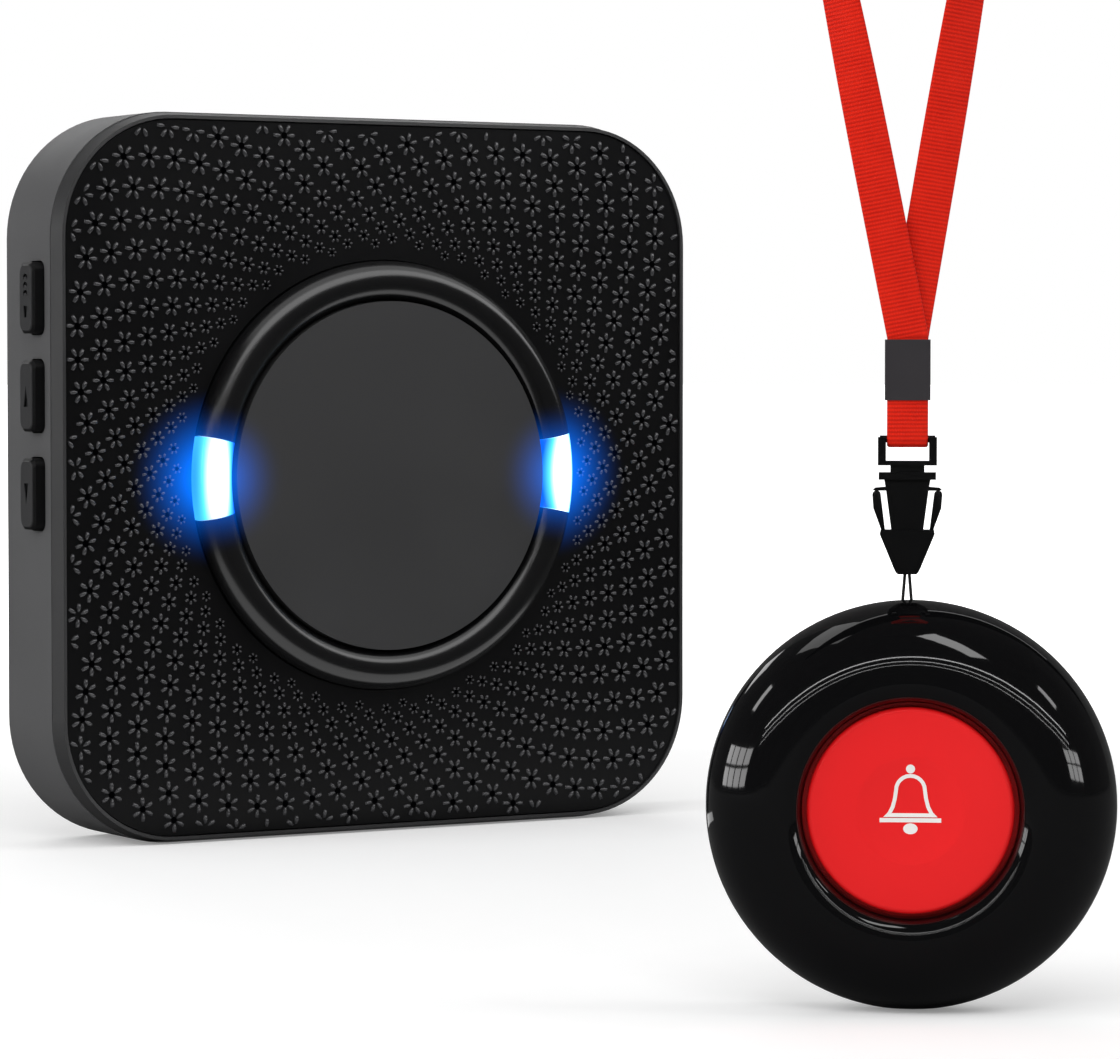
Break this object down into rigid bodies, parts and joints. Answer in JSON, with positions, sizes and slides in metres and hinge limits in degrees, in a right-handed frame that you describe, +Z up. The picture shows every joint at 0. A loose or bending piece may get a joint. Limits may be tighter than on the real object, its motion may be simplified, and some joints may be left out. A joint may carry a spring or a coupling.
{
  "type": "caregiver pager",
  "caption": "Plug-in alert receiver with a lit ring, flower relief and side keys, and a round call pendant with a red press cap on a red lanyard with a release buckle.",
  "frame": {"origin": "middle of the receiver's flat base, halfway through the rear shell's depth", "axes": "+Z up, -Y out of the receiver's front face, +X to the right seen from the front; the pendant stands on its rim in front of the receiver"},
  "size_m": [0.1153, 0.2519, 0.1606],
  "materials": {
    "shell_plastic": "fine moulded satin",
    "frame_plastic": "fine moulded satin",
    "panel_plastic": "glossy moulded relief",
    "ring_plastic": "polished",
    "window_plastic": "clear, lit from behind",
    "disc_plastic": "matt",
    "key_plastic": "satin",
    "plunger_plastic": "moulded",
    "switch_plastic": "moulded",
    "board_laminate": "solder mask",
    "shield_metal": "tin plated",
    "chip_plastic": "moulded",
    "antenna_copper": "drawn",
    "lamp_plastic": "clear",
    "transformer_tape": "wrapped tape",
    "capacitor_sleeve": "shrink sleeve",
    "blade_brass": "stamped",
    "basket_steel": "pressed",
    "cone_paper": "pressed paper",
    "magnet_metal": "plain",
    "screw_steel": "zinc plated",
    "pendant_plastic": "polished",
    "cover_plastic": "satin",
    "seal_rubber": "moulded",
    "cap_plastic": "satin",
    "cell_steel": "brushed",
    "spring_steel": "plain",
    "cord_polyester": "braided",
    "buckle_plastic": "moulded",
    "strap_webbing": "ribbed weave",
    "sleeve_plastic": "satin"
  },
  "bodies": {
    "receiver": {"rear_shell": "shell_plastic", "front_frame": "frame_plastic", "front_panel": "panel_plastic", "trim_ring": "ring_plastic", "left_light_window": "window_plastic", "right_light_window": "window_plastic", "centre_disc": "disc_plastic", "side_switches": "switch_plastic", "main_board": "board_laminate", "radio_module": "shield_metal", "main_chip": "chip_plastic", "antenna_wire": "antenna_copper", "leds": "lamp_plastic", "power_board": "board_laminate", "transformer": "transformer_tape", "bulk_capacitor": "capacitor_sleeve", "plug_blades": "blade_brass", "speaker_basket": "basket_steel", "speaker_magnet": "magnet_metal", "housing_screws": "screw_steel"},
    "volume_key": {"volume_button": "key_plastic", "volume_plunger": "plunger_plastic"},
    "up_key": {"up_button": "key_plastic", "up_plunger": "plunger_plastic"},
    "down_key": {"down_button": "key_plastic", "down_plunger": "plunger_plastic"},
    "speaker_diaphragm": {"speaker_cone": "cone_paper"},
    "pendant": {"pendant_body": "pendant_plastic", "pendant_back": "cover_plastic", "body_seal": "seal_rubber", "back_screws": "screw_steel", "pendant_board": "board_laminate", "call_switch": "switch_plastic", "cap_seal": "seal_rubber", "coin_cell": "cell_steel", "battery_clip": "spring_steel", "cord_pin": "spring_steel"},
    "call_key": {"call_cap": "cap_plastic", "call_plunger": "plunger_plastic"},
    "tether": {"cord_loop": "cord_polyester", "buckle_socket": "buckle_plastic"},
    "lanyard": {"buckle_clip": "buckle_plastic", "strap_fold": "strap_webbing", "crimp_sleeve": "sleeve_plastic", "lanyard_strap": "strap_webbing"},
    "left_arm": {"left_buckle_arm": "buckle_plastic"},
    "right_arm": {"right_buckle_arm": "buckle_plastic"}
  },
  "joints": [
    {"name": "volume_press", "type": "slide", "parent": "receiver", "child": "volume_key", "axis": [1, 0, 0], "range_m": [0, 0.0008], "stiffness_N_per_m": 2500},
    {"name": "up_press", "type": "slide", "parent": "receiver", "child": "up_key", "axis": [1, 0, 0], "range_m": [0, 0.0008], "stiffness_N_per_m": 2500},
    {"name": "down_press", "type": "slide", "parent": "receiver", "child": "down_key", "axis": [1, 0, 0], "range_m": [0, 0.0008], "stiffness_N_per_m": 2500},
    {"name": "cone_stroke", "type": "slide", "parent": "receiver", "child": "speaker_diaphragm", "axis": [0, 1, 0], "range_m": [-0.0003, 0.0003], "stiffness_N_per_m": 800},
    {"name": "pendant_lift", "type": "slide", "parent": "receiver", "child": "pendant", "axis": [0, 0, 1], "range_m": [0, 0.2]},
    {"name": "call_press", "type": "slide", "parent": "pendant", "child": "call_key", "axis": [0.5878, 0.809, 0], "range_m": [0, 0.0008], "stiffness_N_per_m": 3500},
    {"name": "cord_swing", "type": "hinge", "parent": "pendant", "child": "tether", "pos_m": [-0.03929, -0.20317, 0.0434], "axis": [0.5878, 0.809, 0], "range_deg": [-30, 30]},
    {"name": "buckle_release", "type": "slide", "parent": "tether", "child": "lanyard", "axis": [0, 0, 1], "range_m": [0, 0.03]},
    {"name": "left_squeeze", "type": "hinge", "parent": "lanyard", "child": "left_arm", "pos_m": [-0.04208, -0.20114, 0.0577], "axis": [-0.5878, -0.809, 0], "range_deg": [0, 6], "stiffness_Nm_per_rad": 0.07},
    {"name": "right_squeeze", "type": "hinge", "parent": "lanyard", "child": "right_arm", "pos_m": [-0.0365, -0.2052, 0.0577], "axis": [0.5878, 0.809, 0], "range_deg": [0, 6], "stiffness_Nm_per_rad": 0.07}
  ]
}
